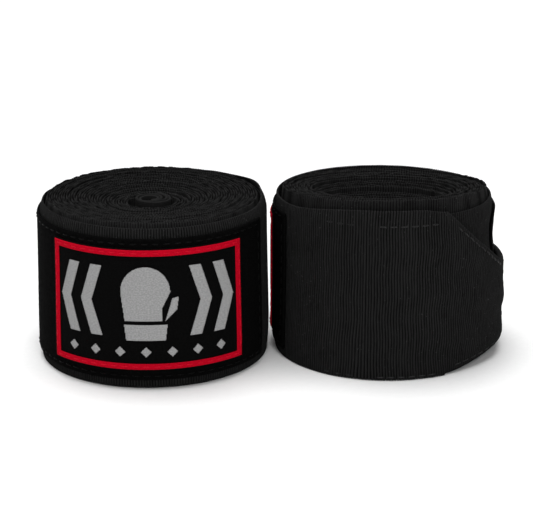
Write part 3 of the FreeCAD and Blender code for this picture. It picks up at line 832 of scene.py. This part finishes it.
def closure(roll):
    """The tail, the taper and the tab: one run of cloth in three pieces, one at each of the closure's three
    hinges.
    """
    side = roll.side
    slit = (roll.tab_low + roll.tab_high) / 2

    tail = ribbed_strip(
        roll, "tail_cloth", MATERIALS["elastic"], roll.tail, TAIL_START, TAPER_START,
        TAIL_THICKNESS, 0.0, roll.tail_top,
    )
    bends(tail, roll, "tail_unroll", f"{side}_tail_panel")

    def taper_folds(angle):
        share = (angle - TAPER_START) / (TAPER_END - TAPER_START)
        low, high = roll.slumped_edges(angle)
        inner = TAIL_THICKNESS * 1.1
        reach_low = np.maximum(inner, share * (slit - FOLD_SLIT - roll.tab_low))
        reach_high = np.maximum(inner, share * (roll.tab_high - slit - FOLD_SLIT))
        return low + reach_low, high - reach_high

    taper = folded_strip(
        roll, "taper_cloth", MATERIALS["elastic"], TAPER_START, TAPER_END,
        roll.slumped_edges, taper_folds,
    )
    bends(taper, roll, "taper_unroll", f"{side}_taper")
    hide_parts(f"{side}_taper_folds")

    def tab_edges(angle):
        left = np.maximum(0, TAB_CORNER - np.radians(TAB_TIP - angle) * roll.tail(TAB_TIP))
        inset = TAB_CORNER - np.sqrt(np.maximum(0, TAB_CORNER**2 - left**2))
        return roll.tab_low + inset, roll.tab_high - inset

    def tab_folds(angle):
        return 0 * angle + slit - FOLD_SLIT, 0 * angle + slit + FOLD_SLIT

    tab = folded_strip(
        roll, "tab_cloth", MATERIALS["elastic"], TAPER_END, TAB_TIP, tab_edges, tab_folds
    )
    bends(tab, roll, "tab_peel", f"{side}_tab")
    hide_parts(f"{side}_tab_folds")
    spans = {tail: (TAIL_START, TAPER_START), taper: (TAPER_START, TAPER_END), tab: (TAPER_END, TAB_TIP)}
    for piece, (start, end) in spans.items():
        length = cloth_length(roll.tail, start, end)


def closure_trim(roll):
    """The hook strip, the backing tapes and the stitches of the tail, the taper and the tab."""
    side = roll.side
    slit = (roll.tab_low + roll.tab_high) / 2
    thread = MATERIALS["thread"]
    seam = degrees(3.0, roll.start)
    depth = TAIL_THICKNESS + FACE_GAP + HOOK_THICKNESS + FACE_GAP

    def hook_face(angle):
        return roll.tail(angle) - depth

    hooks_start, hooks_end = TAPER_END + 1.7, TAB_TIP - degrees(STITCH_INSET, roll.start)
    hook = ribbed_strip(
        roll, "hooks", MATERIALS["hook"], hook_face, hooks_start, hooks_end, HOOK_THICKNESS,
        slit - HOOK_WIDTH / 2, slit + HOOK_WIDTH / 2, pitch=1.1, depth=0.3, wavy=False,
    )
    bends(hook, roll, "tab_peel", f"{side}_hook_strip")
    length = cloth_length(hook_face, hooks_start, hooks_end)

    low, high = MIDDLE_HEIGHT - BACKING_WIDTH / 2, MIDDLE_HEIGHT + BACKING_WIDTH / 2
    tapes = {
        "backing_tape": (roll.outer, BACKING_START + FULL_TURN, TAIL_START + FULL_TURN - 1, roll.outer_top),
        "tail_backing": (roll.tail, TAIL_START + 1, TAPER_START - 1, roll.tail_top),
    }
    for node, (face_at, start, end, top_at) in tapes.items():

        def behind(angle, face_at=face_at):
            return face_at(angle) - FACE_GAP - BACKING_THICKNESS

        def tape_top(angle, top_at=top_at):
            return np.minimum(high, top_at(angle) - BACKING_MARGIN)

        tape = ribbed_strip(
            roll, f"{node}_cloth", MATERIALS["backing"], behind, start, end, BACKING_THICKNESS,
            low, tape_top, pitch=0.6, depth=0.05, wavy=False, rows=8,
        )
        if node == "backing_tape":
            ride(tape, f"{side}_roll", f"{side}_{node}")
        else:
            bends(tape, roll, "tail_unroll", f"{side}_{node}")
        length = cloth_length(behind, start, end)

    heights = (low + STITCH_INSET / 2, high - STITCH_INSET / 2)

    def rows(radius_at, start, end, top_at):
        found = [p for h in heights for p in stitch_places(radius_at, start, end, (h, h))]
        return [(a, min(h, float(top_at(a)) - SEAM_MARGIN), slant) for a, h, slant in found]

    fixed_end = TAIL_START + FULL_TURN
    places = rows(roll.on_outer, BACKING_START + FULL_TURN + seam, fixed_end - seam, roll.outer_top)
    sewn = stitches(roll, "backing_sewing", thread, roll.on_outer, places)
    ride(sewn, f"{side}_roll", f"{side}_backing_stitches")
    places = rows(roll.on_tail, TAIL_START + seam, TAPER_START - seam, roll.tail_top)
    sewn = stitches(roll, "tail_sewing", thread, roll.on_tail, places)
    bends(sewn, roll, "tail_unroll", f"{side}_tail_stitches")

    margin = 2.4
    start, end = TAPER_START + seam, TAPER_END - seam
    lower = stitch_places(roll.on_tail, start, end, (margin, roll.tab_low + margin))
    upper = stitch_places(roll.on_tail, start, end, (TAIL_WIDTH - margin, roll.tab_high - margin))
    places = [(a, float(roll.slumped_edges(a)[0]) + margin, slant) for a, _, slant in lower]
    places += [(a, float(roll.slumped_edges(a)[1]) - margin, slant) for a, _, slant in upper]
    sewn = stitches(roll, "taper_sewing", thread, roll.on_tail, places)
    bends(sewn, roll, "taper_unroll", f"{side}_taper_stitches")
    places = frame_places(
        roll.on_tail, TAPER_END + 2 * seam, TAB_TIP - seam, roll.tab_low + 3, roll.tab_high - 3
    )
    sewn = stitches(roll, "tab_sewing", thread, roll.on_tail, places)
    bends(sewn, roll, "tab_peel", f"{side}_tab_stitches")


def loop_tape(roll):
    """The loop tape round the outer turn, with its nap and its stitches."""
    side = roll.side
    low, high = MIDDLE_HEIGHT - PATCH_WIDTH / 2, MIDDLE_HEIGHT + PATCH_WIDTH / 2
    piece = ribbed_strip(
        roll, "loop_tape", MATERIALS["loop"], roll.on_outer, PATCH_START, PATCH_END,
        PATCH_THICKNESS, low, high, pitch=0.5, per_rib=1, depth=0.12, wavy=False, rows=84,
    )
    nap(roll, piece, 0.10)
    ride(piece, f"{side}_roll", f"{side}_loop_patch")
    length = cloth_length(roll.on_outer, PATCH_START, PATCH_END)
    places = frame_places(
        roll.on_patch, TAB_TIP + 6, PATCH_END - 3, low + STITCH_INSET, high - STITCH_INSET
    )
    sewn = stitches(roll, "loop_tape_sewing", MATERIALS["patch_thread"], roll.on_patch, places)
    ride(sewn, f"{side}_roll", f"{side}_loop_patch_stitches")


def nap(roll, piece, depth):
    """Sinks a piece's points at random, towards the roll's axis, by up to that depth in mm."""
    co = np.zeros(len(piece.data.vertices) * 3)
    piece.data.vertices.foreach_get("co", co)
    co = co.reshape(-1, 3)
    inward = roll.axis * MM - co[:, :2]
    inward /= np.linalg.norm(inward, axis=1)[:, None]
    co[:, :2] += inward * roll.rng.uniform(0, depth, len(co))[:, None] * MM
    piece.data.vertices.foreach_set("co", co.ravel())
    piece.data.update()


def label(roll):
    """The woven label: its ground, its raised border and emblem, and its stitches."""
    side = roll.side
    half = degrees(LABEL_WIDTH / 2, roll.on_patch(LABEL_MIDDLE))
    low, high = LABEL_CENTRE - LABEL_HEIGHT / 2, LABEL_CENTRE + LABEL_HEIGHT / 2
    ground = ribbed_strip(
        roll, "label_cloth", MATERIALS["ground"], roll.on_patch, LABEL_MIDDLE - half,
        LABEL_MIDDLE + half, LABEL_THICKNESS, low, high, pitch=0.62, per_rib=2, depth=0.035,
        wavy=False, rows=94,
    )
    ride(ground, f"{side}_roll", f"{side}_label")
    border = woven_plate(roll, "label_edge", MATERIALS["border"], in_border)
    ride(border, f"{side}_roll", f"{side}_label_border")
    emblem = woven_plate(roll, "label_figure", MATERIALS["motif"], in_emblem)
    ride(emblem, f"{side}_roll", f"{side}_label_emblem")

    def on_border(angle):
        return roll.on_label(angle) + MOTIF_THICKNESS + FACE_GAP

    middle = BORDER_INSET + BORDER_WIDTH / 2
    turn = degrees(middle, roll.on_label(LABEL_MIDDLE))
    places = frame_places(
        on_border, LABEL_MIDDLE - half + turn, LABEL_MIDDLE + half - turn, low + middle, high - middle
    )
    sewn = stitches(roll, "label_sewing", MATERIALS["label_thread"], on_border, places)
    ride(sewn, f"{side}_roll", f"{side}_label_stitches")


def thumb_loop(roll):
    """The thumb loop: a tape folded flat in two and wound from its fold out to the first turn."""
    side = roll.side
    both = 2 * LOOP_TAPE_THICKNESS + LOOP_SLIT
    end = TAIL_START + LOOP_OVERLAP
    turn = (CORE_RADIUS - 0.1 - both - LOOP_INNER_RADIUS) / LOOP_PITCH
    start = end - FULL_TURN * turn
    angles = np.linspace(start, end, 150)
    half = LOOP_TAPE_THICKNESS / 2
    inner = LOOP_INNER_RADIUS + half + LOOP_PITCH * (angles - start) / FULL_TURN
    outer = inner + LOOP_TAPE_THICKNESS + LOOP_SLIT

    def at(radius, angle):
        turned = np.radians(angle)
        return np.stack([radius * np.cos(turned), radius * np.sin(turned)], -1)

    ends = at(inner[:1], angles[:1])[0], at(outer[:1], angles[:1])[0]
    middle, reach = (ends[0] + ends[1]) / 2, np.linalg.norm(ends[1] - ends[0]) / 2
    back = at(np.array([1.0]), angles[:1] - 90)[0]
    away = (ends[1] - ends[0]) / (2 * reach)
    bend = np.linspace(-math.pi / 2, math.pi / 2, 11)[1:-1, None]
    fold = middle + reach * (np.sin(bend) * away + np.cos(bend) * back)
    path = np.concatenate([at(inner, angles)[::-1], fold, at(outer, angles)])
    run = np.gradient(path, axis=0)
    run /= np.linalg.norm(run, axis=1)[:, None]
    normal = np.stack([-run[:, 1], run[:, 0]], -1)
    lengths = np.concatenate([[0], np.cumsum(np.linalg.norm(np.diff(path, axis=0), axis=1))])
    share, cosine, sine = section(10, 3, 10)
    low = roll.loop_low + 0.35 * wander(roll.rng, lengths, 6.0)[:, None]
    height = low + half + (LOOP_TAPE_WIDTH - 2 * half) * share + half * sine
    plan = path[:, None, :] + normal[:, None, :] * (half * cosine)[None, :, None]
    radius = np.hypot(plan[..., 0], plan[..., 1])
    angle = np.degrees(np.arctan2(plan[..., 1], plan[..., 0]))
    coordinates = np.stack([np.broadcast_to(lengths[:, None], height.shape), height], -1)
    piece = sweep(f"{side}_thumb_tape", roll.place(radius, angle, height), coordinates, MATERIALS["thumb"])
    ride(piece, f"{side}_roll", f"{side}_thumb_loop")

    def tack_face(angle):
        return LOOP_INNER_RADIUS + LOOP_PITCH * (angle - start) / FULL_TURN - BARTACK_GAP

    count = int((LOOP_TAPE_WIDTH - 2 * STITCH_INSET) / BARTACK_STEP)
    at_angle = end - FULL_TURN * 0.05
    places = [(at_angle, roll.loop_low + STITCH_INSET + BARTACK_STEP * i, 0.0) for i in range(count)]
    tack = stitches(roll, "thumb_tape_sewing", MATERIALS["thread"], tack_face, places, outwards=-1)
    ride(tack, f"{side}_roll", f"{side}_thumb_loop_bartack")


# ---------------------------------------------------------------- floor, light and camera

FILL = 0.14
SUN_STRENGTH = 3.9


def floor():
    """A large plain floor."""
    size = 4.0
    corners = np.array([(-size, -size, 0), (size, -size, 0), (size, size, 0), (-size, size, 0)])
    plane = make_object("floor", corners, [[0, 1, 2, 3]], corners[:, :2] / MM, floor_material())


def aim(thing, target):
    """Turns a light or the camera to look at a point."""
    thing.rotation_euler = (Vector(target) - thing.location).to_track_quat("-Z", "Y").to_euler()


def lamp(name, place, target, size, power):
    """A square soft light."""
    data = bpy.data.lights.new(name, "AREA")
    data.shape, data.size, data.energy = "SQUARE", size, power
    thing = bpy.data.objects.new(name, data)
    bpy.context.scene.collection.objects.link(thing)
    thing.location = place
    aim(thing, target)


def studio():
    """A white room: a wide soft light overhead, a weaker one at the front, and a dim fill."""
    world = bpy.data.worlds.new("studio")
    world.use_nodes = True
    tree = world.node_tree
    background = tree.nodes["Background"]
    background.inputs["Color"].default_value = (1, 1, 1, 1)
    seen = tree.nodes.new("ShaderNodeLightPath").outputs["Is Camera Ray"]
    strength = tree.nodes.new("ShaderNodeMapRange")
    strength.inputs["To Min"].default_value = FILL
    strength.inputs["To Max"].default_value = 1.05
    tree.links.new(seen, strength.inputs["Value"])
    tree.links.new(strength.outputs["Result"], background.inputs["Strength"])
    bpy.context.scene.world = world
    sun = bpy.data.lights.new("overhead", "SUN")
    sun.energy, sun.angle = SUN_STRENGTH, 1.0
    thing = bpy.data.objects.new("overhead", sun)
    bpy.context.scene.collection.objects.link(thing)
    thing.location = (-0.1, 0.12, 1.0)
    aim(thing, (0, 0, 0))
    lamp("front", (0.15, -1.0, 0.55), (0, 0, 0.03), 0.6, 5.0)
    bpy.context.scene.view_settings.view_transform = "Standard"


def camera():
    """The camera: 18 degrees above the level, 600 mm away."""
    data = bpy.data.cameras.new("camera")
    data.lens, data.sensor_width = 126.7, 36
    thing = bpy.data.objects.new("camera", data)
    bpy.context.scene.collection.objects.link(thing)
    left = Roll("left").axis * MM
    target = Vector((left[0] + 0.0364, left[1] + 0.00104, 0.0286))
    above, distance = math.radians(18.0), 0.6
    thing.location = target + distance * Vector((0, -math.cos(above), math.sin(above)))
    aim(thing, target)
    bpy.context.scene.camera = thing


def main():
    floor()
    for side in ROLLS:
        roll = Roll(side)
        coil(roll)
        outer_band(roll)
        closure(roll)
        loop_tape(roll)
        closure_trim(roll)
        label(roll)
        thumb_loop(roll)
    studio()
    camera()


main()
